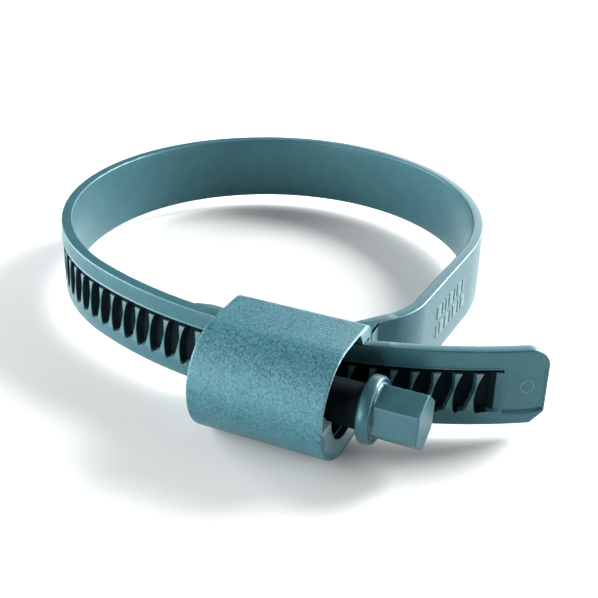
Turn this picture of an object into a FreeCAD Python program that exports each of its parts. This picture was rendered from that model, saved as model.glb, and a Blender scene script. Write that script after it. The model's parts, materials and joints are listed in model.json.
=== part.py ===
import FreeCAD, Part
import Sketcher
import math
import os
from FreeCAD import Placement, Rotation, Vector

# Plastic worm-drive hose clamp.
# Frame: the origin is the centre of the closed ring, midway across the strap's width. +Z runs along
# the hose, +X along the screw towards its hexagon head, and the screw housing lies on the -Y side.
# The strap's path is two arcs that touch where they meet: the ring about the origin, and a flatter
# arc about the flex point on the ring's far side, along which the toothed strap slides.

doc = FreeCAD.newDocument("hose_clamp")

# ---------------------------------------------------------------- driving dimensions (mm, degrees)
SIZES = (
    ("ring_radius", 34.4, "inner radius of the closed ring, which is the hose's outer radius"),
    ("strap_width", 12.0, "width of the strap along the hose"),
    ("strap_thick", 1.8, "thickness of the strap"),
    ("flex_angle", 66.0, "place on the ring, from +X, where the strap bends as the clamp closes"),
    ("flex_gap", 0.2, "clearance round the flex point's rounded end"),
    ("run_angle", 3.0, "angle below +X where the ring leaves its circle for the straight run"),
    ("run_length", 19.5, "straight run of the fixed strap"),
    ("bend_radius", 12.0, "outer radius of the fixed strap's corner"),
    ("bend_turn", 34.0, "turn of the fixed strap's corner"),
    ("housing_start", 11.0, "blind end of the housing along X"),
    ("housing_length", 20.3, "length of the housing along the screw"),
    ("housing_half", 8.2, "half height of the housing, and the radius of its rounded crown"),
    ("housing_floor", 33.8, "distance of the housing's inner face from the ring's centre"),
    ("housing_round", 2.2, "rounding of the housing's two inner edges"),
    ("screw_offset", 42.85, "distance of the screw's axis from the ring's centre"),
    ("end_wall", 1.7, "wall at the blind end, which carries the screw's nose"),
    ("mouth_depth", 5.5, "depth of the cored-out upper half of the mouth"),
    ("mouth_wall", 1.1, "wall left round the cored-out mouth"),
    ("mouth_floor", 3.2, "depth left solid between the cored-out mouth and the housing's inner face"),
    ("slot_gap", 0.2, "clearance of the strap in its slot"),
    ("thread_radius", 4.6, "crest radius of the worm thread"),
    ("root_radius", 3.2, "root radius of the worm thread"),
    ("thread_pitch", 2.94, "pitch of the worm thread"),
    ("thread_crest", 0.9, "width of the thread at its crest"),
    ("thread_foot", 1.9, "width of the thread at its root"),
    ("thread_length", 14.2, "axial length of the thread"),
    ("thread_gap", 0.2, "space between the thread's end and the blind end's wall"),
    ("thread_sink", 0.25, "depth by which the thread's foot is sunk into the core"),
    ("bore_gap", 0.08, "radial running clearance of thread and nose in the housing"),
    ("nose_radius", 2.5, "radius of the screw's nose"),
    ("nose_length", 3.4, "length of the nose, from the thread's end to its tip"),
    ("barb_radius", 2.95, "radius of the barb that snaps out behind the blind end"),
    ("barb_length", 1.3, "length of the barb"),
    ("barb_tip", 2.0, "radius of the barb's tip"),
    ("neck_end", 34.2, "place of the collar's inner face along X"),
    ("collar_radius", 4.8, "radius of the collar under the head"),
    ("collar_thick", 1.9, "thickness of the collar"),
    ("head_flats", 7.0, "width across the flats of the hexagon head"),
    ("head_length", 6.5, "length of the hexagon head"),
    ("head_turn", 20.0, "turn of the hexagon's first corner from pointing at the hose"),
    ("mesh_depth", 0.5, "depth below the strap's face at which its teeth keep the thread's pitch"),
    ("tooth_depth", 1.25, "depth of the pockets between the teeth"),
    ("tooth_height", 6.8, "length of the pockets across the strap"),
    ("pocket_top", 2.1, "width of a pocket at the strap's face"),
    ("pocket_bottom", 1.3, "width of a pocket at its floor"),
    ("rack_teeth", 22.0, "number of pockets on the arc that passes through the housing"),
    ("ring_teeth", 9.0, "number of pockets that carry on round the ring"),
    ("first_tooth", -22.24, "angle of the first pocket of that arc about the flex point, from straight down"),
    ("toothed_ring", 40.5, "angle of the ring that carries pockets"),
    ("tail_angle", 34.66, "angle of the tail's end about the flex point, from straight down"),
    ("tail_round", 3.0, "rounding of the tail's upper corner"),
    ("tail_chamfer", 2.0, "chamfer of the tail's lower corner"),
    ("tongue_reach", 6.4, "length of the tongue that bridges the ring's gap"),
    ("tongue_thick", 1.3, "thickness of the tongue"),
    ("tongue_width", 11.4, "width of the tongue"),
    ("tongue_gap", 0.25, "clearance between the tongue and the strap that slides over it"),
    ("tongue_tip", 0.4, "thickness of the tongue's tip"),
    ("tongue_taper", 2.5, "length over which the tongue thins to its tip"),
)
sheet = doc.addObject("Spreadsheet::Sheet", "Sizes")
for row, (alias, size, meaning) in enumerate(SIZES, start=1):
    sheet.set(f"A{row}", alias)
    sheet.set(f"B{row}", str(size))
    sheet.setAlias(f"B{row}", alias)
    sheet.set(f"C{row}", meaning)
doc.recompute()


def size(alias):
    """One driving dimension, read back from the sheet."""
    return float(getattr(sheet, alias))


def bind(item, **formulas):
    """Drives an object's sizes from the sheet; a double underscore stands for a dot."""
    for path, formula in formulas.items():
        item.setExpression(path.replace("__", "."), formula)
    return item


def solid(body, kind, name, **formulas):
    """Adds a PartDesign primitive to a body, with its sizes and place driven from the sheet."""
    item = body.newObject("PartDesign::" + kind, name)
    return bind(item, **formulas)


def lying(item):
    """Turns a primitive so that its own +Z lies along the clamp's +X."""
    item.Placement = Placement(item.Placement.Base, Rotation(Vector(0, 1, 0), 90))
    return item


def plane_of(body, role):
    """The body's own origin plane with this role."""
    return next(feature for feature in body.Origin.OriginFeatures if feature.Role == role)


def polygon(body, role, name, corners, offset=None):
    """Closed sketch with each corner held at the X and Y that its two formulas give."""
    sketch = body.newObject("Sketcher::SketchObject", name)
    sketch.AttachmentSupport = [(plane_of(body, role), "")]
    sketch.MapMode = "FlatFace"
    if offset is not None:
        sketch.AttachmentOffset = offset
    places = [Vector(*(float(sheet.evalExpression(text)) for text in corner), 0) for corner in corners]
    count = len(places)
    for index in range(count):
        sketch.addGeometry(Part.LineSegment(places[index], places[(index + 1) % count]), False)
    for index in range(count):
        sketch.addConstraint(Sketcher.Constraint("Coincident", index, 2, (index + 1) % count, 1))
    for index, corner in enumerate(corners):
        for axis, text in zip("XY", corner):
            held = places[index].x if axis == "X" else places[index].y
            number = sketch.addConstraint(Sketcher.Constraint("Distance" + axis, -1, 1, index, 1, held))
            sketch.setExpression(f"Constraints[{number}]", text)
    return sketch


CLOSE = 0.001  # two lengths nearer than this are the same length
RING_OUT = "(Sizes.ring_radius + Sizes.strap_thick)"
FLEX_RADIUS = "(Sizes.ring_radius + Sizes.strap_thick / 2)"
FLEX_X = FLEX_RADIUS + " * cos(Sizes.flex_angle)"
FLEX_Y = FLEX_RADIUS + " * sin(Sizes.flex_angle)"
RACK_OUT = f"({FLEX_RADIUS} + {RING_OUT})"
RACK_IN = f"({RACK_OUT} - Sizes.strap_thick)"
HALF_WIDTH = "Sizes.strap_width / 2"

flex_radius = size("ring_radius") + size("strap_thick") / 2
flex_turn = math.radians(size("flex_angle"))
flex_point = Vector(flex_radius * math.cos(flex_turn), flex_radius * math.sin(flex_turn), 0)
rack_out = flex_radius + size("ring_radius") + size("strap_thick")

# ---------------------------------------------------------------- screw housing
# A block with a half-round crown. The screw's bore runs in from the mouth, and the strap's slot runs
# through beside it and opens into it.
shell = doc.addObject("PartDesign::Body", "HousingShell")
block = solid(
    shell, "AdditiveBox", "Block",
    Length="Sizes.housing_length",
    Width="Sizes.screw_offset - Sizes.housing_floor",
    Height="2 * Sizes.housing_half",
    Placement__Base__x="Sizes.housing_start",
    Placement__Base__y="-Sizes.screw_offset",
    Placement__Base__z="-Sizes.housing_half",
)
doc.recompute()
inner_edges = [
    f"Edge{number}"
    for number, edge in enumerate(block.Shape.Edges, start=1)
    if abs(edge.Length - size("housing_length")) < CLOSE
    and abs(edge.CenterOfMass.y + size("housing_floor")) < CLOSE
]
inner_rounds = shell.newObject("PartDesign::Fillet", "InnerRounds")
inner_rounds.Base = (block, inner_edges)
bind(inner_rounds, Radius="Sizes.housing_round")
lying(solid(
    shell, "AdditiveCylinder", "Crown",
    Radius="Sizes.housing_half",
    Height="Sizes.housing_length",
    Placement__Base__x="Sizes.housing_start",
    Placement__Base__y="-Sizes.screw_offset",
))
lying(solid(
    shell, "SubtractiveCylinder", "ScrewBore",
    Radius="Sizes.thread_radius + Sizes.bore_gap",
    Height="Sizes.housing_length",
    Placement__Base__x="Sizes.housing_start + Sizes.end_wall",
    Placement__Base__y="-Sizes.screw_offset",
))
lying(solid(
    shell, "SubtractiveCylinder", "NoseBore",
    Radius="Sizes.nose_radius + Sizes.bore_gap",
    Height="2 * Sizes.end_wall",
    Placement__Base__x="Sizes.housing_start - Sizes.end_wall / 2",
    Placement__Base__y="-Sizes.screw_offset",
))
# The upper half of the mouth is cored out to an even wall.
core = solid(
    shell, "SubtractiveCylinder", "MouthCore",
    Radius="Sizes.housing_half - Sizes.mouth_wall",
    Height="2 * Sizes.mouth_depth",
    Angle="180",
    Placement__Base__x="Sizes.housing_start + Sizes.housing_length - Sizes.mouth_depth",
    Placement__Base__y="-Sizes.screw_offset",
)
core.Placement = Placement(core.Placement.Base, Rotation(Vector(1, 1, 1), 120))
solid(
    shell, "SubtractiveBox", "MouthCoreInner",
    Length="2 * Sizes.mouth_depth",
    Width="Sizes.screw_offset - Sizes.housing_floor - Sizes.mouth_floor",
    Height="Sizes.housing_half - Sizes.mouth_wall",
    Placement__Base__x="Sizes.housing_start + Sizes.housing_length - Sizes.mouth_depth",
    Placement__Base__y="-Sizes.screw_offset",
)

SLOT_HALF = HALF_WIDTH + " + Sizes.slot_gap"


def disc(name, radius, half_height):
    """Full round disc about the flex point, centred on the strap's mid-plane."""
    item = doc.addObject("Part::Cylinder", name)
    return bind(
        item,
        Radius=radius,
        Height=f"2 * ({half_height})",
        Placement__Base__x=FLEX_X,
        Placement__Base__y=FLEX_Y,
        Placement__Base__z=f"-({half_height})",
    )


slot = doc.addObject("Part::Cut", "StrapSlot")
slot.Base = disc("SlotOuter", RACK_OUT + " + Sizes.slot_gap", SLOT_HALF)
slot.Tool = disc("SlotInner", RACK_IN + " - Sizes.slot_gap", "Sizes.strap_width")
housing = doc.addObject("Part::Cut", "Housing")
housing.Base = shell
housing.Tool = slot
housing.Label = "worm_housing"

# ---------------------------------------------------------------- tongue
# A thin lip that carries on from the housing's blind end under the sliding strap, so that the hose is
# not pinched in the gap.
tongue_rim = doc.addObject("Part::Cut", "TongueRim")
TONGUE_OUT = RACK_IN + " - Sizes.tongue_gap"
tongue_rim.Base = disc("TongueOuter", TONGUE_OUT, "Sizes.tongue_width / 2")
tongue_rim.Tool = disc("TongueInner", TONGUE_OUT + " - Sizes.tongue_thick", "Sizes.strap_width")
tongue_window = bind(
    doc.addObject("Part::Box", "TongueWindow"),
    Length="Sizes.tongue_reach",
    Width="Sizes.screw_offset - Sizes.housing_floor",
    Height="Sizes.strap_width",
    Placement__Base__x="Sizes.housing_start - Sizes.tongue_reach",
    Placement__Base__y="-Sizes.screw_offset",
    Placement__Base__z="-" + HALF_WIDTH,
)
tongue_piece = doc.addObject("Part::Common", "TonguePiece")
tongue_piece.Base = tongue_rim
tongue_piece.Tool = tongue_window
doc.recompute()
tip_edges = [
    (edge.CenterOfMass.y, number)
    for number, edge in enumerate(tongue_piece.Shape.Edges, start=1)
    if abs(edge.CenterOfMass.x - size("housing_start") + size("tongue_reach")) < CLOSE
    and abs(edge.CenterOfMass.z) < CLOSE
]
nearest_the_hose = max(tip_edges)[1]
tongue = doc.addObject("Part::Chamfer", "Tongue")
tongue.Base = tongue_piece
tongue.Edges = [(nearest_the_hose, size("tongue_thick") - size("tongue_tip"), size("tongue_taper"))]
tongue.Label = "inner_tongue"

# ---------------------------------------------------------------- fixed strap
# From the flex point round the ring, down a straight run and round a corner into the housing's end.
fixed = doc.addObject("PartDesign::Body", "FixedStrap")
fixed.Label = "fixed_strap"


def tall(body, kind, name, **formulas):
    """A primitive as tall as the strap is wide, centred on its mid-plane."""
    return solid(body, kind, name, Height="Sizes.strap_width", Placement__Base__z="-" + HALF_WIDTH, **formulas)


arc = tall(fixed, "AdditiveCylinder", "RingArc", Radius=RING_OUT, Angle="Sizes.flex_angle + Sizes.run_angle")
arc.Placement = Placement(arc.Placement.Base, Rotation(Vector(0, 0, 1), -size("run_angle")))
tall(fixed, "SubtractiveCylinder", "RingInside", Radius="Sizes.ring_radius")
tall(
    fixed, "SubtractiveCylinder", "FlexSeat",
    Radius="Sizes.strap_thick / 2 + Sizes.flex_gap",
    Placement__Base__x=FLEX_X,
    Placement__Base__y=FLEX_Y,
)
RUN_END_X = f"(({RING_OUT}) * cos(Sizes.run_angle) - Sizes.run_length * sin(Sizes.run_angle))"
RUN_END_Y = f"(-({RING_OUT}) * sin(Sizes.run_angle) - Sizes.run_length * cos(Sizes.run_angle))"
BEND_X = f"({RUN_END_X} - Sizes.bend_radius * cos(Sizes.run_angle))"
BEND_Y = f"({RUN_END_Y} + Sizes.bend_radius * sin(Sizes.run_angle))"
corner = tall(
    fixed, "AdditiveCylinder", "Corner",
    Radius="Sizes.bend_radius",
    Angle="Sizes.bend_turn",
    Placement__Base__x=BEND_X,
    Placement__Base__y=BEND_Y,
)
corner.Placement = Placement(
    corner.Placement.Base, Rotation(Vector(0, 0, 1), -size("run_angle") - size("bend_turn"))
)
tall(
    fixed, "SubtractiveCylinder", "CornerInside",
    Radius="Sizes.bend_radius - Sizes.strap_thick",
    Placement__Base__x=BEND_X,
    Placement__Base__y=BEND_Y,
)
run = tall(
    fixed, "AdditiveBox", "StraightRun",
    Length="Sizes.strap_thick",
    Width="Sizes.run_length",
    Placement__Base__x=f"{RUN_END_X} - Sizes.strap_thick * cos(Sizes.run_angle)",
    Placement__Base__y=f"{RUN_END_Y} + Sizes.strap_thick * sin(Sizes.run_angle)",
)
run.Placement = Placement(run.Placement.Base, Rotation(Vector(0, 0, 1), -size("run_angle")))
# The root: the strap's last stretch, widened to fill the corner between it and the housing's end.
ROOT_TURN = "(Sizes.run_angle + Sizes.bend_turn)"
ROOT_IN = "(Sizes.bend_radius - Sizes.strap_thick)"
END_X = "(Sizes.housing_start + Sizes.housing_length)"


def on_root(radius, along):
    """Formulas of a point beyond the corner's end, this far along the strap from it."""
    return (
        f"{BEND_X} + {radius} * cos({ROOT_TURN}) - {along} * sin({ROOT_TURN})",
        f"{BEND_Y} - {radius} * sin({ROOT_TURN}) - {along} * cos({ROOT_TURN})",
    )


TO_END_FACE = f"(({BEND_X} + Sizes.bend_radius * cos({ROOT_TURN}) - {END_X}) / sin({ROOT_TURN}))"
TO_FLOOR = f"((Sizes.housing_floor + {BEND_Y} - {ROOT_IN} * sin({ROOT_TURN})) / cos({ROOT_TURN}))"
root = polygon(
    fixed, "XY_Plane", "RootOutline",
    (
        on_root("Sizes.bend_radius", "0"),
        on_root("Sizes.bend_radius", TO_END_FACE),
        (END_X, "-Sizes.housing_floor"),
        on_root(ROOT_IN, TO_FLOOR),
        on_root(ROOT_IN, "0"),
    ),
)
root_pad = fixed.newObject("PartDesign::Pad", "Root")
root_pad.Profile = root
root_pad.Midplane = True
bind(root_pad, Length="Sizes.strap_width")

# ---------------------------------------------------------------- free strap, plain stretch
# The ring's far side, from the flex point to where the pockets begin. Its end at the flex point is
# rounded and turns in the fixed strap's seat.
plain = doc.addObject("PartDesign::Body", "PlainStrap")
plain.Label = "plain_strap"
far_side = tall(
    plain, "AdditiveCylinder", "FarSide",
    Radius=RING_OUT,
    Angle="180 - Sizes.toothed_ring",
)
far_side.Placement = Placement(far_side.Placement.Base, Rotation(Vector(0, 0, 1), size("flex_angle")))
tall(plain, "SubtractiveCylinder", "FarSideInside", Radius="Sizes.ring_radius")
tall(
    plain, "AdditiveCylinder", "FlexEnd",
    Radius="Sizes.strap_thick / 2",
    Placement__Base__x=FLEX_X,
    Placement__Base__y=FLEX_Y,
)

# ---------------------------------------------------------------- free strap, toothed stretch and tail
# The flatter arc about the flex point, from the tail back to where it touches the ring, and the last
# stretch of the ring itself.
toothed = doc.addObject("PartDesign::Body", "ToothedStrap")
toothed.Label = "toothed_strap"
rack_arc = tall(
    toothed, "AdditiveCylinder", "RackArc",
    Radius=RACK_OUT,
    Angle="90 - Sizes.flex_angle + Sizes.tail_angle",
    Placement__Base__x=FLEX_X,
    Placement__Base__y=FLEX_Y,
)
touch_angle = 180 + size("flex_angle")
rack_arc.Placement = Placement(rack_arc.Placement.Base, Rotation(Vector(0, 0, 1), touch_angle))
tall(
    toothed, "SubtractiveCylinder", "RackInside",
    Radius=RACK_IN,
    Placement__Base__x=FLEX_X,
    Placement__Base__y=FLEX_Y,
)
ring_end = tall(toothed, "AdditiveCylinder", "RingEnd", Radius=RING_OUT, Angle="Sizes.toothed_ring")
ring_end.Placement = Placement(
    ring_end.Placement.Base, Rotation(Vector(0, 0, 1), touch_angle - size("toothed_ring"))
)
ring_inside = tall(toothed, "SubtractiveCylinder", "RingEndInside", Radius="Sizes.ring_radius")
doc.recompute()
tail_turn = math.radians(size("tail_angle"))
tail_out = Vector(math.sin(tail_turn), -math.cos(tail_turn), 0)
tail_end = flex_point + tail_out * (rack_out - size("strap_thick") / 2)


def tail_corner(base, height):
    """Name of the short edge at the tail's end at this height."""
    corner_place = tail_end + Vector(0, 0, height)
    return next(
        f"Edge{number}"
        for number, edge in enumerate(base.Shape.Edges, start=1)
        if edge.CenterOfMass.distanceToPoint(corner_place) < CLOSE
    )


upper_corner = toothed.newObject("PartDesign::Fillet", "TailRound")
upper_corner.Base = (ring_inside, [tail_corner(ring_inside, size("strap_width") / 2)])
bind(upper_corner, Radius="Sizes.tail_round")
doc.recompute()
lower_corner = toothed.newObject("PartDesign::Chamfer", "TailChamfer")
lower_corner.Base = (upper_corner, [tail_corner(upper_corner, -size("strap_width") / 2)])
bind(lower_corner, Size="Sizes.tail_chamfer")


OVERCUT = 0.5  # reach of a cutting tool beyond the face it starts from


def cut_pockets(name, face_radius, centre, first_angle, pitch_angle, count):
    """Cuts a row of tapered slots, skewed by the thread's lead angle, into an arc of the strap."""
    floor, face = f"-({face_radius} - Sizes.tooth_depth)", f"-({face_radius})"
    outline = (
        ("-Sizes.pocket_bottom / 2", floor),
        ("Sizes.pocket_bottom / 2", floor),
        ("Sizes.pocket_top / 2", face),
        ("Sizes.pocket_top / 2", f"{face} - {OVERCUT}"),
        ("-Sizes.pocket_top / 2", f"{face} - {OVERCUT}"),
        ("-Sizes.pocket_top / 2", face),
    )
    radius = float(sheet.evalExpression(face_radius)) - size("mesh_depth")
    lead = size("thread_pitch") / (2 * math.pi * size("thread_radius"))
    skew = math.degrees(lead * size("tooth_height") / 2 / radius)
    ends = []
    for side, end_name in ((-1, name + "Lower"), (1, name + "Upper")):
        turn = Rotation(Vector(0, 0, 1), first_angle + side * skew)
        place = Placement(centre + Vector(0, 0, side * size("tooth_height") / 2), turn)
        end = polygon(toothed, "XY_Plane", end_name, outline, place)
        end.setExpression("AttachmentOffset.Base.z", f"{side} * Sizes.tooth_height / 2")
        ends.append(end)
    one = toothed.newObject("PartDesign::SubtractiveLoft", name)
    one.Profile = ends[0]
    one.Sections = ends[1:]
    one.Ruled = True
    doc.recompute()
    row = toothed.newObject("PartDesign::PolarPattern", name + "Row")
    row.Originals = [one]
    row.Axis = (ends[0], ["N_Axis"])
    bind(row, Occurrences=count, Angle=f"({count} - 1) * ({pitch_angle})")
    toothed.Tip = row
    return row


# Both rows keep one spacing along the strap's face: the thread's pitch, read at the mesh's depth.
MESH_RADIUS = f"({RACK_OUT} - Sizes.mesh_depth)"
PITCH_ANGLE = f"360 * Sizes.thread_pitch / (2 * pi * {MESH_RADIUS})"
pitch_angle = math.degrees(size("thread_pitch") / (rack_out - size("mesh_depth")))
spacing = math.radians(pitch_angle) * rack_out
cut_pockets("Pocket", RACK_OUT, flex_point, size("first_tooth"), PITCH_ANGLE, "Sizes.rack_teeth")
to_touch = math.radians(size("first_tooth") + 90 - size("flex_angle")) * rack_out
ring_out = size("ring_radius") + size("strap_thick")
ring_pitch = math.degrees(spacing / ring_out)
ring_first = (size("flex_angle") - 90) - math.degrees((spacing - to_touch) / ring_out)
cut_pockets(
    "RingPocket", RING_OUT, Vector(),
    ring_first - (size("ring_teeth") - 1) * ring_pitch,
    f"{PITCH_ANGLE} * {RACK_OUT} / ({RING_OUT})",
    "Sizes.ring_teeth",
)

# ---------------------------------------------------------------- worm screw
# Its own Z axis lies along the clamp's X: barbed nose, thread, neck, collar, hexagon head. The barb snaps
# through the blind end and keeps the screw in.
screw = doc.addObject("PartDesign::Body", "WormScrew")
screw.Label = "worm_screw"
THREAD_START = "(Sizes.housing_start + Sizes.end_wall + Sizes.thread_gap)"
COLLAR_END = "(Sizes.neck_end + Sizes.collar_thick)"
solid(
    screw, "AdditiveCylinder", "Core",
    Radius="Sizes.root_radius",
    Height=f"Sizes.neck_end - {THREAD_START}",
    Placement__Base__z=THREAD_START,
)
solid(
    screw, "AdditiveCylinder", "Nose",
    Radius="Sizes.nose_radius",
    Height="Sizes.nose_length",
    Placement__Base__z=f"{THREAD_START} - Sizes.nose_length",
)
solid(
    screw, "AdditiveCone", "Barb",
    Radius1="Sizes.barb_tip",
    Radius2="Sizes.barb_radius",
    Height="Sizes.barb_length",
    Placement__Base__z=f"{THREAD_START} - Sizes.nose_length",
)
solid(
    screw, "AdditiveCylinder", "Collar",
    Radius="Sizes.collar_radius",
    Height="Sizes.collar_thick",
    Placement__Base__z="Sizes.neck_end",
)
HEAD_CORNER = "Sizes.head_flats / sqrt(3)"
head_outline = polygon(
    screw, "XY_Plane", "HeadOutline",
    [
        (
            f"{HEAD_CORNER} * cos({60 * corner_number} + Sizes.head_turn)",
            f"{HEAD_CORNER} * sin({60 * corner_number} + Sizes.head_turn)",
        )
        for corner_number in range(6)
    ],
    Placement(Vector(0, 0, size("neck_end") + size("collar_thick")), Rotation()),
)
bind(head_outline, AttachmentOffset__Base__z=COLLAR_END)
head = screw.newObject("PartDesign::Pad", "Head")
head.Profile = head_outline
bind(head, Length="Sizes.head_length")

# The thread is a trapezium carried round the core. The crest faces the strap in the middle of a pocket.
nearest = round(-size("first_tooth") / pitch_angle)
crest_x = flex_point.x + (rack_out - size("mesh_depth")) * math.sin(
    math.radians(size("first_tooth") + nearest * pitch_angle)
)
thread_start = size("housing_start") + size("end_wall") + size("thread_gap")
room = crest_x - thread_start - size("thread_foot") / 2
first_crest = crest_x - size("thread_pitch") * math.floor(room / size("thread_pitch"))
thread_sketch = polygon(
    screw, "XZ_Plane", "ThreadOutline",
    (
        ("Sizes.root_radius - Sizes.thread_sink", "-Sizes.thread_foot / 2"),
        ("Sizes.root_radius", "-Sizes.thread_foot / 2"),
        ("Sizes.thread_radius", "-Sizes.thread_crest / 2"),
        ("Sizes.thread_radius", "Sizes.thread_crest / 2"),
        ("Sizes.root_radius", "Sizes.thread_foot / 2"),
        ("Sizes.root_radius - Sizes.thread_sink", "Sizes.thread_foot / 2"),
    ),
    Placement(Vector(0, first_crest, 0), Rotation()),
)
thread = screw.newObject("PartDesign::AdditiveHelix", "Thread")
thread.Profile = thread_sketch
thread.ReferenceAxis = (thread_sketch, ["V_Axis"])
thread.Mode = 0
thread.LeftHanded = False
thread.Reversed = False
bind(thread, Pitch="Sizes.thread_pitch", Height="Sizes.thread_length - Sizes.thread_pitch")
screw.Tip = thread
screw.Placement = Placement(Vector(0, -size("screw_offset"), 0), Rotation(Vector(1, 1, 1), 120))
bind(screw, Placement__Base__y="-Sizes.screw_offset")

# ---------------------------------------------------------------- check and write
SUB_PARTS = (housing, tongue, fixed, plain, toothed, screw)
doc.recompute()
for item in doc.Objects:
    if "Invalid" in item.State or "Error" in item.State:
        raise RuntimeError(f"{item.Name} failed: {item.State}")
for item in SUB_PARTS:
    if item.Shape.isNull() or not item.Shape.isValid():
        raise RuntimeError(f"{item.Label} has no valid shape")
os.makedirs("parts", exist_ok=True)
for item in SUB_PARTS:
    item.Shape.exportStep(f"parts/{item.Label}.step")
    print(f"{item.Label}: {len(item.Shape.Solids)} solid, {item.Shape.Volume:.1f} mm3")
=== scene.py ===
import json
import math

import bmesh
import bpy
from mathutils import Matrix, Vector


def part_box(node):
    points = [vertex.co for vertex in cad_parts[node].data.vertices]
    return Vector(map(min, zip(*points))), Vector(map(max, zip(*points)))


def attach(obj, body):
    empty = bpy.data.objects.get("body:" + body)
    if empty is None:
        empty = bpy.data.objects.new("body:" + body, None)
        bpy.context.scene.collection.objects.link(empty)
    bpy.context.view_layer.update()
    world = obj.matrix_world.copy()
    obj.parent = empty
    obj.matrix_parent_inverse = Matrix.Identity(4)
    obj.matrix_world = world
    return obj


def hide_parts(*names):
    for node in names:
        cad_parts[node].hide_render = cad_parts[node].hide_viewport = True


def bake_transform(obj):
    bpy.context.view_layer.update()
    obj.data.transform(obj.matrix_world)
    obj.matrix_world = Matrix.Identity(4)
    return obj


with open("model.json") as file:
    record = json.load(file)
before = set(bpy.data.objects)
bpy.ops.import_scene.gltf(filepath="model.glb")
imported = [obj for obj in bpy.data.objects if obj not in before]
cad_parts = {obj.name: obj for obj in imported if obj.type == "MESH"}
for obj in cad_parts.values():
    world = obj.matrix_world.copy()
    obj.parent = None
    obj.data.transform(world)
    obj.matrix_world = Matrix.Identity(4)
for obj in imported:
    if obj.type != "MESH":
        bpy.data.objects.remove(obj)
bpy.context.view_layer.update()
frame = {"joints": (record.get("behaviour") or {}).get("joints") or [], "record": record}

# ------------------------------------------------------------------ screw housing
# The block that holds the worm screw: one moulding with the strap, in glass-filled nylon, with a
# half-round crown over the screw, a slot through it for the strap and an open mouth at the screw's end.
# The tool's spark-eroded cavity leaves its outside evenly grained.
MM = 0.001
joints = {joint["name"]: joint for joint in frame["joints"]}
housing_low, housing_high = (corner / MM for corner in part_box("worm_housing"))
strap_low, strap_high = (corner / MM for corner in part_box("plain_strap"))
axis_y = joints["screw_turn"]["pos_m"][1] / MM
flex = Vector(joints["strap_closing"]["pos_m"]) / MM
ring_in = frame["record"]["mounts"][0]["dims"]["r_mm"]
ring_out = round(-strap_low.x, 1)
rack_out = (ring_in + ring_out) / 2 + ring_out
strap_thick = ring_out - ring_in
strap_half = strap_high.z

# Every size here is in millimetres, and a mesh is scaled to metres as it is made.
crown = housing_high.z
floor_y = housing_high.y
mouth_x = housing_high.x
inner_round = 2.2
end_round = 0.45
end_wall = 1.7
bore = 4.68
bore_end = mouth_x - 0.9
nose_bore = 2.58
mouth_bore = 5.15
mouth_bore_start = mouth_x - 0.95
mouth_depth = 5.5
mouth_wall = 0.75
mouth_lip = 0.1
mouth_flare = 2
mouth_back = 4.4
mouth_side = (5.6, 5.9)
slot_gap = 0.2
beyond = 2.0
housing_edge = 0.14


def arc(centre, radius, start, end, steps):
    """Points on a circle's arc, both ends included, from one angle to another in degrees."""
    turns = (math.radians(start + (end - start) * step / steps) for step in range(steps + 1))
    return [(centre[0] + radius * math.cos(turn), centre[1] + radius * math.sin(turn)) for turn in turns]


def loft(rings, capped=True):
    """Points and faces of a skin through matched closed rings of points, its ends closed flat."""
    count = len(rings[0])
    points = [point for ring in rings for point in ring]
    faces = [
        (row * count + col, row * count + (col + 1) % count,
         (row + 1) * count + (col + 1) % count, (row + 1) * count + col)
        for row in range(len(rings) - 1)
        for col in range(count)
    ]
    if capped:
        last = (len(rings) - 1) * count
        faces += [tuple(range(count))[::-1], tuple(range(last, last + count))]
    return points, faces


def moulding(name, skins, finish, crease=32):
    """A mesh object from one or more closed skins in millimetres, with its creased edges kept sharp."""
    points, faces = [], []
    for skin_points, skin_faces in skins:
        faces += [tuple(index + len(points) for index in face) for face in skin_faces]
        points += skin_points
    mesh = bpy.data.meshes.new(name)
    mesh.from_pydata([Vector(point) * MM for point in points], [], faces)
    piece = bpy.data.objects.new(name, mesh)
    bpy.context.scene.collection.objects.link(piece)
    mesh.materials.append(finish)
    settle(piece, crease)
    return piece


def settle(piece, crease):
    """Turns every face outwards, shades the piece smooth and sharpens edges past the crease angle."""
    work = bmesh.new()
    work.from_mesh(piece.data)
    bmesh.ops.recalc_face_normals(work, faces=work.faces)
    work.to_mesh(piece.data)
    work.free()
    piece.data.shade_smooth()
    piece.data.set_sharp_from_angle(angle=math.radians(crease))


def apply_modifiers(piece):
    """Makes the piece's mesh what its modifiers show."""
    shown = piece.evaluated_get(bpy.context.evaluated_depsgraph_get())
    mesh = bpy.data.meshes.new_from_object(shown)
    piece.modifiers.clear()
    piece.data = mesh


def cut(piece, tools, operation="DIFFERENCE"):
    """Cuts the tools out of the piece, or joins them to it."""
    for tool in tools:
        step = piece.modifiers.new("cut", "BOOLEAN")
        step.object = tool
        step.operation = operation
        step.solver = "EXACT"
        step.material_mode = "TRANSFER"
    apply_modifiers(piece)
    for tool in tools:
        bpy.data.objects.remove(tool)


def break_edges(piece, width, crease=38):
    """Rounds the edges past the crease angle, as a moulded edge is, and keeps flat faces flat."""
    bevel = piece.modifiers.new("edges", "BEVEL")
    bevel.width = width * MM
    bevel.segments = 2
    bevel.limit_method = "ANGLE"
    bevel.angle_limit = math.radians(crease)
    bevel.use_clamp_overlap = True
    bevel.miter_outer = "MITER_ARC"
    apply_modifiers(piece)
    piece.data.shade_smooth()
    piece.data.set_sharp_from_angle(angle=math.radians(50))
    weigh = piece.modifiers.new("flats", "WEIGHTED_NORMAL")
    weigh.keep_sharp = True
    apply_modifiers(piece)


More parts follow.
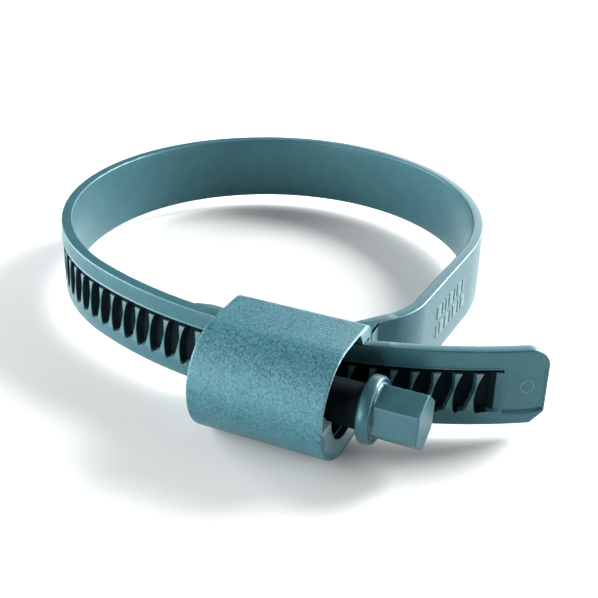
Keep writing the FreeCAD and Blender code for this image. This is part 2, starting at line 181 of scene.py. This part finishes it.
def srgb(hex_colour):
    """Linear RGBA of an sRGB hex colour."""
    parts = [int(hex_colour[start:start + 2], 16) / 255 for start in (1, 3, 5)]
    return [part / 12.92 if part <= 0.04045 else ((part + 0.055) / 1.055) ** 2.4 for part in parts] + [1]


def add_node(tree, kind, inputs=None, **settings):
    """Adds a node with its settings; an input that is another node's output is linked."""
    item = tree.nodes.new(kind)
    for setting, value in settings.items():
        setattr(item, setting, value)
    for socket, value in (inputs or {}).items():
        if isinstance(value, bpy.types.NodeSocket):
            tree.links.new(value, item.inputs[socket])
        else:
            item.inputs[socket].default_value = value
    return item


# The Mix node's sockets for colour, which share their names with its sockets for numbers.
COLOUR_A, COLOUR_B, COLOUR_OUT = 6, 7, 2
flow_mark = 3 * MM
fibre_fleck = 0.35 * MM
# The paler colour of the painted highlight along convex edges.
edge_highlight_colour = "#A9C4C4"
gloss_colour = "#BFF6FF"


def glass_filled_nylon(name, light, dark, roughness, grain, grain_depth, fleck_share=0.6, gloss_level=0.5):
    """Moulded glass-filled nylon. Its fibres leave a cloudy, slightly uneven tone under a satin skin; the
    tool's finish gives the grain, and convex edges get a painted highlight, paler than the faces. Grain
    sizes are in mm."""
    finish = bpy.data.materials.new(name)
    finish.use_nodes = True
    tree = finish.node_tree
    shader = tree.nodes["Principled BSDF"]
    place = add_node(tree, "ShaderNodeTexCoord").outputs["Object"]
    # Flow marks some 3 mm across, and fibre flecks drawn at 0.35 mm, coarser than real ones, to show.
    clouds = add_node(tree, "ShaderNodeTexNoise", {"Vector": place, "Scale": 1 / flow_mark, "Detail": 4.0,
                                                   "Roughness": 0.6})
    flecks = add_node(tree, "ShaderNodeTexNoise", {"Vector": place, "Scale": 1 / fibre_fleck, "Detail": 2.0,
                                                   "Roughness": 0.7})
    tone = add_node(tree, "ShaderNodeMix", {"Factor": fleck_share, "A": clouds.outputs["Fac"],
                                            "B": flecks.outputs["Fac"]}, data_type="FLOAT")
    spread = add_node(tree, "ShaderNodeValToRGB", {"Fac": tone.outputs["Result"]})
    for stop, (position, colour) in zip(spread.color_ramp.elements, ((0.30, dark), (0.70, light))):
        stop.position = position
        stop.color = srgb(colour)
    # Convex edges, found by pointiness, are painted paler: a painted highlight along them.
    edge = add_node(tree, "ShaderNodeNewGeometry").outputs["Pointiness"]
    edge_highlight = add_node(tree, "ShaderNodeMapRange", {"Value": edge, "From Min": 0.53, "From Max": 0.60,
                                                   "To Min": 0.0, "To Max": 0.2})
    edge_highlighted_tone = add_node(tree, "ShaderNodeMix", {"Factor": edge_highlight.outputs["Result"],
                                            COLOUR_A: spread.outputs["Color"],
                                            COLOUR_B: srgb(edge_highlight_colour)}, data_type="RGBA")
    tree.links.new(edge_highlighted_tone.outputs[COLOUR_OUT], shader.inputs["Base Color"])
    # The skin is a little duller where fibres lie near it.
    gloss = add_node(tree, "ShaderNodeMapRange", {"Value": flecks.outputs["Fac"], "From Min": 0.3,
                                                  "From Max": 0.7, "To Min": roughness - 0.06,
                                                  "To Max": roughness + 0.08})
    tree.links.new(gloss.outputs["Result"], shader.inputs["Roughness"])
    shader.inputs["IOR"].default_value = 1.53
    shader.inputs["Specular IOR Level"].default_value = gloss_level
    shader.inputs["Specular Tint"].default_value = srgb(gloss_colour)
    pits = add_node(tree, "ShaderNodeTexNoise", {"Vector": place, "Scale": 1 / (grain * MM), "Detail": 3.0,
                                                 "Roughness": 0.65})
    relief = add_node(tree, "ShaderNodeBump", {"Height": pits.outputs["Fac"], "Distance": grain_depth * MM,
                                               "Strength": 1.0})
    tree.links.new(relief.outputs["Normal"], shader.inputs["Normal"])
    return finish


# Spark-eroded grain is near 0.1 mm; it is drawn at 0.27 mm and deep, so that its speckle shows.
grained_nylon = glass_filled_nylon("spark_grained_glass_filled_nylon", "#427480", "#17373F",
                                   roughness=0.36, grain=0.27, grain_depth=0.12, fleck_share=0.9)
# Mould skin in the recesses: coarse and dull, with painted shade: the recesses' shade is painted into it as
# a near-black colour.
dull_nylon_painted_shade = glass_filled_nylon("dull_glass_filled_nylon_with_painted_shade", "#101B1F", "#0A1215",
                                roughness=0.8, grain=0.3, grain_depth=0.05, gloss_level=0.08)


def housing_outline(inset):
    """The housing's D-shaped outline as (y, z), drawn in by an inset."""
    radius = inner_round - inset
    low, high = -crown + inner_round, crown - inner_round
    return (
        arc((axis_y, 0), crown - inset, 90, 270, 56)
        + arc((floor_y - inner_round, low), radius, 270, 360, 8)
        + arc((floor_y - inner_round, high), radius, 0, 90, 8)
    )


ROUND_STEPS = 5


def rounded_ends(outline, start, end, edge_radius):
    """Rings of an outline carried along X between two places, with both end edges rounded."""
    turns = [math.pi / 2 * step / ROUND_STEPS for step in range(ROUND_STEPS + 1)]
    near = [(start + edge_radius * (1 - math.cos(turn)), edge_radius * (1 - math.sin(turn)))
            for turn in turns]
    far = [(start + end - place, inset) for place, inset in reversed(near)]
    return [[(place, y, z) for y, z in outline(inset)] for place, inset in near + far]


def rod(radius, start, end, steps=64):
    """A round bar along the screw's axis."""
    circle = arc((axis_y, 0), radius, 0, 360 - 360 / steps, steps - 1)
    return moulding("rod", [loft([[(place, y, z) for y, z in circle] for place in (start, end)])],
                    dull_nylon_painted_shade)


def mouth_ring(place, radius):
    """The mouth's open upper half as one ring at a place along the axis."""
    outline = arc((axis_y, 0), radius, 90, 180, 32)
    outline += [(axis_y + mouth_side[0], 0), (axis_y + mouth_side[0], mouth_side[1])]
    outline += [(axis_y + mouth_back, radius)]
    return [(place, y, z) for y, z in outline]


housing = moulding("screw_housing",
                   [loft(rounded_ends(housing_outline, housing_low.x, mouth_x, end_round))], grained_nylon)
mouth_core = moulding("mouth_core", [loft([
    mouth_ring(mouth_x - mouth_depth, crown - mouth_wall),
    mouth_ring(mouth_x - mouth_flare, crown - mouth_wall),
    mouth_ring(mouth_x, crown - mouth_lip),
    mouth_ring(mouth_x + beyond, crown - mouth_lip),
])], dull_nylon_painted_shade)
slot_ends = [math.degrees(math.asin((place - flex.x) / rack_out)) - 90
             for place in (housing_low.x - beyond, mouth_x + beyond)]
slot_line = (arc(flex, rack_out + slot_gap, *slot_ends, 24)
             + arc(flex, rack_out - strap_thick - slot_gap, *slot_ends[::-1], 24))
slot = moulding("slot", [loft([[(x, y, side * (strap_half + slot_gap)) for x, y in slot_line]
                               for side in (-1, 1)])], dull_nylon_painted_shade)
# The cut faces take the cutters' near-black dull finish: painted shade in the bores, the mouth and the
# strap's slot.
cut(housing, [
    rod(nose_bore, housing_low.x - beyond, housing_low.x + end_wall + beyond),
    rod(bore, housing_low.x + end_wall, bore_end),
    rod(mouth_bore, mouth_bore_start, mouth_x + beyond),
    mouth_core,
    slot,
])
break_edges(housing, housing_edge)
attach(housing, "housing")
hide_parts("worm_housing")

# ------------------------------------------------------------------ tongue
# A thin tapered lip moulded on to the housing's blind end. It lies under the sliding strap and keeps the
# hose from being pinched in the gap.
tongue_low, tongue_high = (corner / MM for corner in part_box("inner_tongue"))
tongue_gap = 0.25
tongue_thick = 1.3
tongue_tip = 0.4
tongue_taper = 2.5
tongue_edge = 0.15
tongue_side_round = 0.5
tongue_round_reach = 0.02
tongue_root = 0.3
TONGUE_STEPS = 14
# Satin nylon: the polished cavity leaves soft reflections, with only a faint unevenness in them.
satin_nylon = glass_filled_nylon("satin_moulded_glass_filled_nylon", "#33585F", "#27474F",
                                 roughness=0.33, grain=0.45, grain_depth=0.02)
tongue_rings = []
for step in range(TONGUE_STEPS + 1):
    reach = (step / TONGUE_STEPS) ** 1.5
    place = tongue_low.x + (tongue_high.x + tongue_root - tongue_low.x) * reach
    turn = math.asin((place - flex.x) / (rack_out - strap_thick))
    outside = rack_out - strap_thick - tongue_gap
    thinned = max(0, 1 - (place - tongue_low.x) / tongue_taper)
    inside = outside - tongue_thick + (tongue_thick - tongue_tip) * thinned
    side = tongue_high.z - tongue_side_round * max(0, 1 - reach / tongue_round_reach)
    corners = [(outside, -side + tongue_edge), (outside - tongue_edge, -side),
               (inside + tongue_edge, -side), (inside, -side + tongue_edge),
               (inside, side - tongue_edge), (inside + tongue_edge, side),
               (outside - tongue_edge, side), (outside, side - tongue_edge)]
    tongue_rings.append([(flex.x + radius * math.sin(turn), flex.y - radius * math.cos(turn), z)
                         for radius, z in corners])
tongue = moulding("tongue", [loft(tongue_rings)], satin_nylon)
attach(tongue, "housing")
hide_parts("inner_tongue")

# ------------------------------------------------------------------ plain strap
# The strap's smooth stretch, one moulding with the housing: out of its mouth, round a corner, up a
# straight run and on round the ring. It bends in use, so it is polished, and its long edges are rounded.
run_angle = 3.0
run_length = 19.5
bend_radius = 12.0
bend_turn = 34.0
strap_edge = 0.28
teeth_start = 203.0
into_housing = 0.4
RING_STEPS = 150
RUN_STEPS = 22
BEND_STEPS = 16
CORNER_STEPS = 4
FACE_STEPS = 6
run_turn = math.radians(run_angle)
run_out = Vector((math.cos(run_turn), -math.sin(run_turn)))
run_end = Vector((ring_out * math.cos(run_turn) - run_length * math.sin(run_turn),
                  -ring_out * math.sin(run_turn) - run_length * math.cos(run_turn)))
bend_centre = run_end - bend_radius * run_out
bend_in = bend_radius - strap_thick
root_turn = -math.radians(run_angle + bend_turn)
root_out = bend_centre + bend_radius * Vector((math.cos(root_turn), math.sin(root_turn)))
root_in = bend_centre + bend_in * Vector((math.cos(root_turn), math.sin(root_turn)))
root_along = Vector((math.sin(root_turn), -math.cos(root_turn)))


def straight(start, end, steps):
    """Points on a straight line, without its last one."""
    return [tuple(Vector(start).lerp(Vector(end), step / steps)) for step in range(steps)]


outer_end = root_out + root_along * (root_out.x - mouth_x + into_housing) / -root_along.x
inner_end = root_in + root_along * (root_in.y - floor_y) / -root_along.y
ring_start = (ring_out * math.cos(run_turn), -ring_out * math.sin(run_turn))
ring_start_in = (ring_in * math.cos(run_turn), -ring_in * math.sin(run_turn))
run_end_in = bend_centre + bend_in * run_out
outer_line = (
    [tuple(outer_end)]
    + straight(outer_end.lerp(root_out, 0.12), root_out, 8)
    + arc(bend_centre, bend_radius, -run_angle - bend_turn, -run_angle, BEND_STEPS)[:-1]
    + straight(run_end, ring_start, RUN_STEPS)
    + arc((0, 0), ring_out, -run_angle, teeth_start, RING_STEPS)
)
inner_line = (
    [(mouth_x - into_housing, floor_y)]
    + straight((mouth_x, floor_y), inner_end, 3)
    + straight(inner_end, root_in, 5)
    + arc(bend_centre, bend_in, -run_angle - bend_turn, -run_angle, BEND_STEPS)[:-1]
    + straight(run_end_in, ring_start_in, RUN_STEPS)
    + arc((0, 0), ring_in, -run_angle, teeth_start, RING_STEPS)
)


def strap_section():
    """The strap's section once round, corners rounded: (0 on the outer line or 1 on the inner, depth, z)."""
    turns = [math.pi / 2 * step / CORNER_STEPS for step in range(CORNER_STEPS + 1)]
    corner = [(strap_edge * (1 - math.cos(turn)), strap_half - strap_edge * (1 - math.sin(turn)))
              for turn in turns]
    flat = [strap_half - strap_edge - 2 * (strap_half - strap_edge) * step / FACE_STEPS
            for step in range(FACE_STEPS + 1)]
    outer = [(0, 0, z) for z in flat[1:-1]]
    down = [(0, depth, -z) for depth, z in corner]
    inner_low = [(1, -depth, -z) for depth, z in reversed(corner)]
    inner = [(1, 0, -z) for z in flat[1:-1]]
    up = [(1, -depth, z) for depth, z in corner]
    outer_high = [(0, depth, z) for depth, z in reversed(corner)]
    return outer + down + inner_low + inner + up + outer_high


strap_rings = []
for (outer_x, outer_y), (inner_x, inner_y) in zip(outer_line, inner_line):
    outer_place, inner_place = Vector((outer_x, outer_y, 0)), Vector((inner_x, inner_y, 0))
    inward = (inner_place - outer_place).normalized()
    strap_rings.append([
        tuple((inner_place if within else outer_place) + inward * depth + Vector((0, 0, z)))
        for within, depth, z in strap_section()
    ])

# Two rows of plain raised bars stand on the right-hand run, where a maker would mould a mark.
bar_height = 0.12
bar_half = 1.05
bar_edge = 0.12
bar_gap = 0.75
bars_from = 5.2
long_bar, short_bar = 1.5, 0.7
upper_row = (1.6, (long_bar, short_bar, short_bar, long_bar, short_bar, long_bar, short_bar))
lower_row = (-1.6, (short_bar, long_bar, long_bar, short_bar, long_bar, short_bar, long_bar))
bars = []
for row_z, lengths in (upper_row, lower_row):
    along = bars_from
    for length in lengths:
        low = run_end.lerp(Vector(ring_start), along / run_length)
        high = run_end.lerp(Vector(ring_start), (along + length) / run_length)
        rings = []
        for lift, shrink in ((-0.1, 0), (bar_height * 0.6, 0), (bar_height, bar_edge)):
            ends = [low.lerp(high, shrink / length), high.lerp(low, shrink / length)]
            rings.append([
                (*(ends[index] + run_out * lift), row_z + side * (bar_half - shrink))
                for index, side in ((0, -1), (1, -1), (1, 1), (0, 1))
            ])
        bars.append(loft(rings))
        along += length + bar_gap
plain_strap = moulding("plain_strap", [loft(strap_rings), *bars], satin_nylon)
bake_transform(plain_strap)
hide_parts("fixed_strap", "plain_strap")

# ------------------------------------------------------------------ toothed strap and tail
# The strap's free end, which the worm draws through the housing. Leaf-shaped pockets between thin slanted
# ridges take the thread; a narrow track runs along their upper ends, and the tail is plain with cut corners.
tail_end = 73.2
tail_round = 3.0
tail_chamfer = 2.0
pitch = 2.96
pocket_count = 31
last_pocket = 64.35
last_floor_end = 64.75
pocket_depth = 1.2
pocket_low = -3.78
pocket_tilt = 0.30
shaded_wall = 0.42
lit_wall = 0.62
track_high = 3.05
track_low = 2.42
track_depth = 0.95
bead_height = 0.1
ramp_start = 65.3
ramp_end = 66.73
ramp_step = 0.55
panel_start = 66.95
panel_end = 72.9
panel_depth = 0.13
panel_high = 3.0
panel_edge = 0.12
panel_foot = 0.2
POCKET_ROWS = 22
PANEL_STEPS = 24
BACK_STEPS = 8


touch = math.atan2(flex.y, flex.x) + math.pi


def spread_on_arc(along, depth):
    """Place on the strap, this far along its outer face from where rack and ring touch, at this depth."""
    centre, radius = (flex, rack_out) if along > 0 else (Vector((0, 0, 0)), ring_out)
    turn = touch + along / radius
    return centre.x + (radius - depth) * math.cos(turn), centre.y + (radius - depth) * math.sin(turn)


def smooth(value):
    """Eases from 0 to 1."""
    value = min(max(value, 0), 1)
    return value * value * (3 - 2 * value)


def left_edge(z):
    """Left edge of a pocket from its centre line, at a height on the strap: one long curve."""
    return -1.57 + 0.055 * (z + 2) ** 2


def right_edge(z):
    """Right edge of a pocket from its centre line: upright above the middle, drawn in below it."""
    return 1.5 - 0.161 * (math.sqrt(z * z + 0.12) - z)


start_along = (math.radians(teeth_start) - touch) * ring_out
pockets = [last_pocket - pitch * number for number in range(pocket_count)][::-1]
plain_end = pockets[0] - 1.9

# Columns along the face, as (place, kind, share of the wall's run, share of full depth, tilt). A pocket
# takes nine: four down its left wall, one on its floor and four up its right wall.
across_pocket = [("left", 0.0, 0.0, -1), ("left", 0.10, 0.10, -1), ("left", 0.5, 0.55, -0.8),
                 ("left", 1.0, 1.0, -0.6), ("floor", 0.0, 1.03, 0), ("right", 1.0, 1.0, 0.5),
                 ("right", 0.5, 0.5, 0.75), ("right", 0.12, 0.08, 1), ("right", 0.0, 0.0, 1)]
left_walls = [column for column in across_pocket if column[0] == "left"]
columns = [(start_along + (plain_end - start_along) * step / 3, "plain", 0, 0, 0) for step in range(4)]
for centre in pockets:
    columns += [(centre, *column) for column in (left_walls if centre == last_pocket else across_pocket)]
columns.append((last_floor_end, "ramp", 0, 1.0, 0))
for share in (0.0, 0.3, 0.65, 0.94, 1.0):
    columns.append((ramp_start + (ramp_end - ramp_start) * share, "ramp", 0, ramp_step * (1 - share), 0))
columns.append((panel_start, "plain", 0, 0, 0))
panel_width = panel_end - panel_start - 2 * panel_edge
for step in range(PANEL_STEPS + 1):
    columns.append((panel_start + panel_edge + panel_width * step / PANEL_STEPS, "panel", 0, 0, 0))
columns += [(panel_end, "plain", 0, 0, 0), (tail_end - strap_edge, "plain", 0, 0, 0)]

# Rows down the face: the margin, a bead on its lower lip, the track, the pockets, and the margin below.
margin_rows = [strap_half - strap_edge - down for down in (0.0, 0.6, 1.2, 1.8, 2.2)]
bead_rows = [(track_high + 0.36, 0), (track_high + 0.27, -bead_height * 0.8),
             (track_high + 0.17, -bead_height), (track_high + 0.08, -bead_height * 0.7), (track_high, 0.08)]
track_rows = [track_high - 0.06, (track_high + track_low) / 2, track_low + 0.07]
pocket_rows = [track_low + (pocket_low - track_low) * row / POCKET_ROWS for row in range(POCKET_ROWS + 1)]
foot_rows = [-4.25, -4.7, -5.2, -strap_half + strap_edge]


def column_place(centre, kind, run, z):
    """Place along the strap of a column at this height."""
    held = min(max(z, pocket_low - pocket_tilt), track_low + 0.25)
    if kind == "left":
        return centre + left_edge(held) + run * shaded_wall
    if kind == "right":
        return centre + right_edge(held) - run * lit_wall
    if kind == "floor":
        return centre + (left_edge(held) + shaded_wall + right_edge(held) - lit_wall) / 2
    return centre


def face_line(column):
    """One column of the face from top to bottom, as (along, depth, z)."""
    centre, kind, run, depth_share, tilt = column
    in_teeth = kind in ("left", "floor", "right")
    ends = smooth((ramp_end - centre) / 0.6) * smooth((centre - pockets[0] + 2.2) / 0.5)
    track = 1 if in_teeth else ends
    line = [(z, 0) for z in margin_rows]
    line += [(z, panel_depth if kind == "panel" and z <= track_high else depth * track)
             for z, depth in bead_rows]
    line += [(z, max(track_depth * track, panel_depth if kind == "panel" else 0)) for z in track_rows]
    for row, z in enumerate(pocket_rows):
        level = z + pocket_tilt * tilt * smooth(row / 6) if in_teeth else z
        depth = pocket_depth * depth_share * smooth((POCKET_ROWS - row) / 1.6)
        if kind == "panel":
            depth = panel_depth + panel_foot * smooth((row - POCKET_ROWS + 2) / 2)
        line.append((level, depth))
    line += [(z, 0) for z in foot_rows]
    return [(column_place(centre, kind, run, z), depth, z) for z, depth in line]


def trimmed(along, z):
    """Heights drawn in at the tail: a round upper corner and a chamfered lower one."""
    from_end = tail_end - along
    top, bottom = strap_half, -strap_half
    if from_end < tail_round:
        top = strap_half - tail_round + math.sqrt(max(0, tail_round ** 2 - (tail_round - from_end) ** 2))
    if from_end < tail_chamfer:
        bottom = -strap_half + tail_chamfer - from_end
    if z > panel_high:
        return panel_high + (z - panel_high) * (top - panel_high) / (strap_half - panel_high)
    if z < pocket_low:
        return pocket_low - (pocket_low - z) * (pocket_low - bottom) / (pocket_low + strap_half)
    return z


front = [face_line(column) for column in columns]
corner_turns = [math.pi / 2 * step / CORNER_STEPS for step in range(1, CORNER_STEPS + 1)]
low_corner = [(strap_edge * (1 - math.cos(turn)), -strap_half + strap_edge * (1 - math.sin(turn)))
              for turn in corner_turns]
back_heights = [strap_half - strap_edge - 2 * (strap_half - strap_edge) * step / BACK_STEPS
                for step in range(BACK_STEPS + 1)]
toothed_rings = []
for line in front:
    lowest, highest = line[-1][0], line[0][0]
    toothed_rings.append(
        line
        + [(lowest, depth, z) for depth, z in low_corner]
        + [(lowest, strap_thick - depth, z) for depth, z in reversed(low_corner)]
        + [(lowest, strap_thick, z) for z in reversed(back_heights)]
        + [(highest, strap_thick - depth, -z) for depth, z in low_corner]
        + [(highest, depth, -z) for depth, z in reversed(low_corner)]
    )
# The tail's end face is rounded over by drawing the last rings in.
tail_ring = toothed_rings[-1]
for turn in corner_turns:
    inset = strap_edge * (1 - math.cos(turn))
    drawn = tail_end - strap_edge + strap_edge * math.sin(turn)
    toothed_rings.append([(drawn, min(max(depth, inset), strap_thick - inset),
                           min(max(z, -strap_half + inset), strap_half - inset))
                          for _, depth, z in tail_ring])
toothed_points = [[(*spread_on_arc(along, depth), trimmed(along, z)) for along, depth, z in ring]
                  for ring in toothed_rings]


def raised_ring(along, z, radius, width, height):
    """A small plain ring standing on the tail's panel, where a maker would mould a size mark."""
    steps = 40
    sunk = -0.25
    rings = []
    for step in range(steps):
        turn = math.tau * step / steps
        section = []
        for side, lift in ((-1, sunk), (-0.6, height * 0.7), (0, height), (0.6, height * 0.7), (1, sunk)):
            reach = radius + side * width / 2
            section.append((*spread_on_arc(along + reach * math.cos(turn), panel_depth - lift),
                            z + reach * math.sin(turn)))
        rings.append(section)
    points, faces = loft(rings + [rings[0]], capped=False)
    last = steps * len(rings[0])
    return points[:last], [tuple(index % last for index in face) for face in faces]


size_ring = raised_ring(70.2, 0.2, 0.95, 0.34, 0.1)
toothed_strap = moulding("toothed_strap", [loft(toothed_points), size_ring], satin_nylon, crease=40)
# Painted shade: the track and the deeper part of each pocket take the near-black dull finish; a left wall,
# the one in shade, takes it nearly to its top.
painted_shade_depth = 0.42
painted_shade_depth_left = 0.2
toothed_strap.data.materials.append(dull_nylon_painted_shade)
for row in range(len(front) - 1):
    painted_shade_from = painted_shade_depth_left if columns[row][1] == "left" else painted_shade_depth
    for col in range(len(front[0]) - 1):
        corners = [front[row][col], front[row][col + 1], front[row + 1][col + 1], front[row + 1][col]]
        if sum(depth for _, depth, _ in corners) / 4 > painted_shade_from:
            toothed_strap.data.polygons[row * len(tail_ring) + col].material_index = 1
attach(toothed_strap, "strap")
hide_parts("toothed_strap")

# ------------------------------------------------------------------ worm screw
# The drive screw, a moulding of its own in the same nylon: barbed nose, worm thread, neck, round collar
# and a hexagon head for a socket. The barb snaps through the housing's blind end, and the screw then
# turns freely.
screw_low, screw_high = (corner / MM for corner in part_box("worm_screw"))
root_radius = 3.2
thread_radius = 4.6
thread_pitch = 2.94
thread_first = 16.2
thread_turns = 3.83
thread_half_foot = 0.95
thread_flank = 0.5
thread_run_out = 0.12
thread_from, thread_to = 13.1, 29.4
THREAD_STEP = 0.14
ROUND = 96
collar_start = 34.2
collar_end = 36.1
collar_radius = 4.8
head_flats = 7.0
head_turn = 20.0
head_corner = 0.32
head_end_round = 0.22
head_sunk = 0.4
screw_edge = 0.08
# The screw's nylon is a shade darker than the strap's, and its faces are a little uneven from cooling.
screw_nylon = glass_filled_nylon("satin_moulded_nylon_screw", "#2F525B", "#244149",
                                 roughness=0.35, grain=0.35, grain_depth=0.03)


def screw_radius(x, turn):
    """Radius of the threaded stretch at a place along the axis and an angle."""
    travelled = (x - thread_first) / thread_pitch - turn / math.tau
    whole = round(travelled)
    off = abs(travelled - whole) * thread_pitch
    position = whole + turn / math.tau
    ends = (smooth((position + 0.02) / thread_run_out)
            * smooth((thread_turns - position) / thread_run_out))
    flank = min(max((thread_half_foot - off) / thread_flank, 0), 1)
    return root_radius + (thread_radius - root_radius) * flank * ends


# The screw's profile as (place along the axis, radius), from the nose's tip to the collar's far face.
nose = [(screw_low.x, 1.7), (screw_low.x + 0.15, 2.0), (screw_low.x + 1.2, 2.9), (screw_low.x + 1.35, 2.9),
        (screw_low.x + 1.4, 2.5), (12.85, 2.5), (12.9, 3.1), (13.0, root_radius)]
thread = [(thread_from + THREAD_STEP * step, None)
          for step in range(int((thread_to - thread_from) / THREAD_STEP))]
neck = [(29.5, root_radius), (33.6, root_radius), (34.0, 3.35), (collar_start, 3.7)]
collar = [(collar_start + 0.02, 4.2), (collar_start + 0.1, 4.5), (collar_start + 0.28, 4.72),
          (collar_start + 0.5, 4.79), (collar_start + 0.95, collar_radius), (collar_end - 0.5, 4.77),
          (collar_end - 0.24, 4.68), (collar_end - 0.06, 4.56), (collar_end, 4.42)]
collar_groove = [(collar_end - 0.02, 4.28), (collar_end - 0.2, 4.2), (collar_end - 0.2, 4.1),
                 (collar_end + 0.01, 4.02), (collar_end + 0.14, 3.92), (collar_end + 0.18, 3.7),
                 (collar_end + 0.2, 3.3)]
screw_rings = []
for x, radius in nose + thread + neck + collar + collar_groove:
    ring = []
    for step in range(ROUND):
        turn = math.tau * step / ROUND
        reach = radius or screw_radius(x, turn)
        ring.append((x, axis_y + reach * math.cos(turn), reach * math.sin(turn)))
    screw_rings.append(ring)
worm_screw = moulding("worm_screw", [loft(screw_rings)], screw_nylon)
# Painted shade: the thread and the neck take the near-black dull finish, like the bore they turn in.
worm_screw.data.materials.append(dull_nylon_painted_shade)
for face in worm_screw.data.polygons:
    if face.center.x / MM < collar_start:
        face.material_index = 1


def hexagon(inset):
    """The head's outline as (y, z), with its six corners slightly rounded."""
    outline = []
    for corner in range(6):
        angle = head_turn + 60 * corner
        reach = (head_flats / 2 - inset - head_corner) / math.cos(math.radians(30))
        centre = (axis_y + reach * math.cos(math.radians(angle)), reach * math.sin(math.radians(angle)))
        outline += arc(centre, head_corner, angle - 30, angle + 30, 4)
    return outline


head = moulding("head", [loft(rounded_ends(hexagon, collar_end - head_sunk, screw_high.x, head_end_round))],
                screw_nylon)
cut(worm_screw, [head], "UNION")
settle(worm_screw, 40)
break_edges(worm_screw, screw_edge, 50)
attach(worm_screw, "screw")
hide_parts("worm_screw")

# ------------------------------------------------------------------ floor, light and camera
# A plain pale table, soft boxes behind, in front and to both sides, and the camera in front of the clamp,
# looking down a little.
board_radius = 380
board_z = housing_low.z - 0.05
matt_board = bpy.data.materials.new("pale_matt_board")
matt_board.use_nodes = True
board_shader = matt_board.node_tree.nodes["Principled BSDF"]
board_shader.inputs["Base Color"].default_value = srgb("#CDCFCF")
board_shader.inputs["Roughness"].default_value = 0.9
board_rim = arc((0, 0), board_radius, 0, 357, 119)
board_mesh = bpy.data.meshes.new("board")
board_mesh.from_pydata([Vector((x, y, board_z)) * MM for x, y in board_rim], [],
                       [tuple(range(len(board_rim)))])
board_mesh.materials.append(matt_board)
board = bpy.data.objects.new("board", board_mesh)
bpy.context.scene.collection.objects.link(board)

heading = math.radians(23.5)
dip = math.radians(27.97)
roll = math.radians(1.62)
eye = Vector((74.796, -159.799, 81.748))
forward = Vector((-math.sin(heading) * math.cos(dip), math.cos(heading) * math.cos(dip), -math.sin(dip)))
level = Vector((math.cos(heading), math.sin(heading), 0))
upward = level.cross(forward)
right = level * math.cos(roll) + upward * math.sin(roll)
up = upward * math.cos(roll) - level * math.sin(roll)
camera = bpy.data.objects.new("camera", bpy.data.cameras.new("camera"))
camera.matrix_world = Matrix((
    (right.x, up.x, -forward.x, eye.x * MM),
    (right.y, up.y, -forward.y, eye.y * MM),
    (right.z, up.z, -forward.z, eye.z * MM),
    (0, 0, 0, 1),
))
camera.data.sensor_width = 36
camera.data.lens = 66.22
camera.data.clip_start = 0.005
bpy.context.scene.collection.objects.link(camera)
bpy.context.scene.camera = camera

studio = bpy.data.worlds.new("studio")
studio.use_nodes = True
studio_shader = studio.node_tree.nodes["Background"]
studio_shader.inputs["Color"].default_value = srgb("#F2F6F8")
seen = add_node(studio.node_tree, "ShaderNodeLightPath").outputs["Is Camera Ray"]
# The studio's walls look pale to the eye, but add next to no light of their own.
pale = add_node(studio.node_tree, "ShaderNodeMapRange", {"Value": seen, "To Min": 0.03, "To Max": 1.0})
studio.node_tree.links.new(pale.outputs["Result"], studio_shader.inputs["Strength"])
bpy.context.scene.world = studio
bpy.context.scene.view_settings.view_transform = "Standard"


def softbox(name, place, size, watts):
    """A square soft light at a place in millimetres, facing the clamp."""
    light = bpy.data.lights.new(name, "AREA")
    light.shape = "SQUARE"
    light.size = size * MM
    light.energy = watts
    box = bpy.data.objects.new(name, light)
    box.location = Vector(place) * MM
    box.rotation_euler = (-box.location).to_track_quat("-Z", "Y").to_euler()
    bpy.context.scene.collection.objects.link(box)


softbox("back_right", (260, 330, 240), 260, 8.6)
softbox("back_low", (0, 460, 70), 300, 1.2)
softbox("left_box", (-430, -40, 150), 300, 3.2)
softbox("left_front_box", (-380, -260, 110), 260, 2.2)
softbox("front_left_box", (-160, -330, 260), 140, 0.3)
softbox("low_front_box", (-120, -380, 40), 160, 1.5)
softbox("right_box", (460, 60, 110), 300, 1.4)
